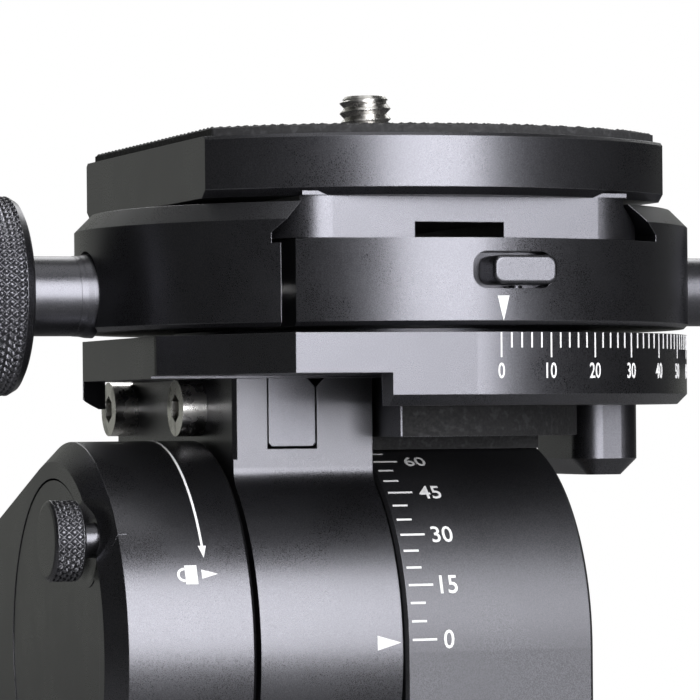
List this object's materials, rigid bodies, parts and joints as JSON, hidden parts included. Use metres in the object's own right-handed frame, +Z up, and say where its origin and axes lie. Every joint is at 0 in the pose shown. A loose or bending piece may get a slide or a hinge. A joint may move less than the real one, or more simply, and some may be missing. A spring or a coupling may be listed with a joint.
{
  "type": "geared tripod head",
  "caption": "Camera tripod head with worm-driven tilt and roll stages, a panning dovetail clamp and a round quick-release plate with a camera screw.",
  "frame": {"origin": "centre of the tripod thread's mouth, in the underside of the base", "axes": "+Z up along the thread and the camera screw, +X to the right, +Y to the rear"},
  "size_m": [0.115, 0.0876, 0.1628],
  "materials": {
    "black_anodised": "satin",
    "stainless": "satin",
    "bronze": "machined",
    "pad": "textured"
  },
  "bodies": {
    "base": {"base_plate": "black_anodised", "base_screws": "stainless", "roll_housing": "black_anodised", "roll_cover": "black_anodised", "roll_cover_screws": "stainless", "roll_bush": "bronze", "roll_end_bush": "bronze", "roll_worm_bushes": "bronze"},
    "roll_carriage": {"roll_bracket": "black_anodised", "roll_bracket_screws": "stainless", "roll_shaft": "stainless", "roll_washer": "bronze", "roll_wheel": "bronze", "tilt_housing": "black_anodised", "tilt_cover": "black_anodised", "tilt_cover_screws": "stainless", "tilt_bush": "bronze", "tilt_end_bush": "bronze", "tilt_worm_bushes": "bronze"},
    "roll_worm": {"roll_worm": "stainless", "roll_worm_knob": "black_anodised"},
    "roll_lock": {"roll_lock_knob": "black_anodised", "roll_lock_disc": "black_anodised", "roll_lock_stud": "stainless"},
    "roll_friction": {"roll_friction_screw": "black_anodised"},
    "tilt_carriage": {"tilt_bracket": "black_anodised", "tilt_bracket_screws": "stainless", "tilt_shaft": "stainless", "tilt_washer": "bronze", "tilt_wheel": "bronze", "pan_base": "black_anodised", "pan_spindle": "stainless", "pan_nut": "stainless", "pan_washer": "bronze"},
    "tilt_worm": {"tilt_worm": "stainless", "tilt_worm_knob": "black_anodised"},
    "tilt_lock": {"tilt_lock_knob": "black_anodised", "tilt_lock_disc": "black_anodised", "tilt_lock_stud": "stainless"},
    "tilt_friction": {"tilt_friction_screw": "black_anodised"},
    "pan_stage": {"clamp_body": "black_anodised", "pan_brake_shoe": "bronze", "jaw_springs": "stainless", "button_detent": "stainless"},
    "pan_lock": {"pan_lock_screw": "black_anodised", "pan_lock_knob": "black_anodised"},
    "jaw": {"clamp_jaw": "black_anodised", "jaw_guide_pins": "stainless"},
    "clamp_knob": {"clamp_screw": "black_anodised", "clamp_knob": "black_anodised"},
    "button": {"slide_button": "black_anodised"},
    "plate": {"camera_plate": "black_anodised", "plate_pad": "pad"},
    "camera_screw": {"camera_screw": "stainless"}
  },
  "joints": [
    {"name": "roll", "type": "hinge", "parent": "base", "child": "roll_carriage", "pos_m": [0, 0, 0.038], "axis": [0, 1, 0], "range_deg": [-30, 90]},
    {"name": "roll_worm_turn", "type": "hinge", "parent": "base", "child": "roll_worm", "pos_m": [0, 0.0058, 0.021], "axis": [1, 0, 0], "range_deg": [-1200, 3600]},
    {"name": "roll_lock_turn", "type": "hinge", "parent": "roll_carriage", "child": "roll_lock", "pos_m": [0, -0.03, 0.038], "axis": [0, 1, 0], "range_deg": [-90, 0]},
    {"name": "roll_friction_turn", "type": "hinge", "parent": "roll_lock", "child": "roll_friction", "pos_m": [0.01486, -0.04, 0.05138], "axis": [0, 1, 0], "range_deg": [-360, 0]},
    {"name": "tilt", "type": "hinge", "parent": "roll_carriage", "child": "tilt_carriage", "pos_m": [0, 0, 0.096], "axis": [-1, 0, 0], "range_deg": [-30, 90]},
    {"name": "tilt_worm_turn", "type": "hinge", "parent": "roll_carriage", "child": "tilt_worm", "pos_m": [0.0058, 0, 0.079], "axis": [0, 1, 0], "range_deg": [-1200, 3600]},
    {"name": "tilt_lock_turn", "type": "hinge", "parent": "tilt_carriage", "child": "tilt_lock", "pos_m": [-0.03, 0, 0.096], "axis": [1, 0, 0], "range_deg": [-90, 0]},
    {"name": "tilt_friction_turn", "type": "hinge", "parent": "tilt_lock", "child": "tilt_friction", "pos_m": [-0.04, -0.01486, 0.10938], "axis": [1, 0, 0], "range_deg": [-360, 0]},
    {"name": "pan", "type": "hinge", "parent": "tilt_carriage", "child": "pan_stage", "pos_m": [0, 0, 0.138], "axis": [0, 0, 1], "continuous": true},
    {"name": "pan_lock_turn", "type": "hinge", "parent": "pan_stage", "child": "pan_lock", "pos_m": [0.05, 0, 0.1386], "axis": [1, 0, 0], "range_deg": [-180, 0]},
    {"name": "jaw_slide", "type": "slide", "parent": "pan_stage", "child": "jaw", "axis": [-1, 0, 0], "range_m": [0, 0.002]},
    {"name": "clamp_knob_turn", "type": "hinge", "parent": "jaw", "child": "clamp_knob", "pos_m": [-0.05, 0, 0.138], "axis": [-1, 0, 0], "range_deg": [0, 720]},
    {"name": "button_slide", "type": "slide", "parent": "pan_stage", "child": "button", "axis": [-1, 0, 0], "range_m": [0, 0.0021]},
    {"name": "plate_slide", "type": "slide", "parent": "pan_stage", "child": "plate", "axis": [0, 1, 0], "range_m": [-0.02, 0.02]},
    {"name": "camera_screw_turn", "type": "hinge", "parent": "plate", "child": "camera_screw", "pos_m": [0, 0.0054, 0.157], "axis": [0, 0, 1], "continuous": true}
  ],
  "couplings": [
    {"joint": "roll_worm_turn", "follows": "roll", "ratio": 40},
    {"joint": "tilt_worm_turn", "follows": "tilt", "ratio": 40},
    {"joint": "clamp_knob_turn", "follows": "jaw_slide", "rad_per_m": 6283.2}
  ]
}
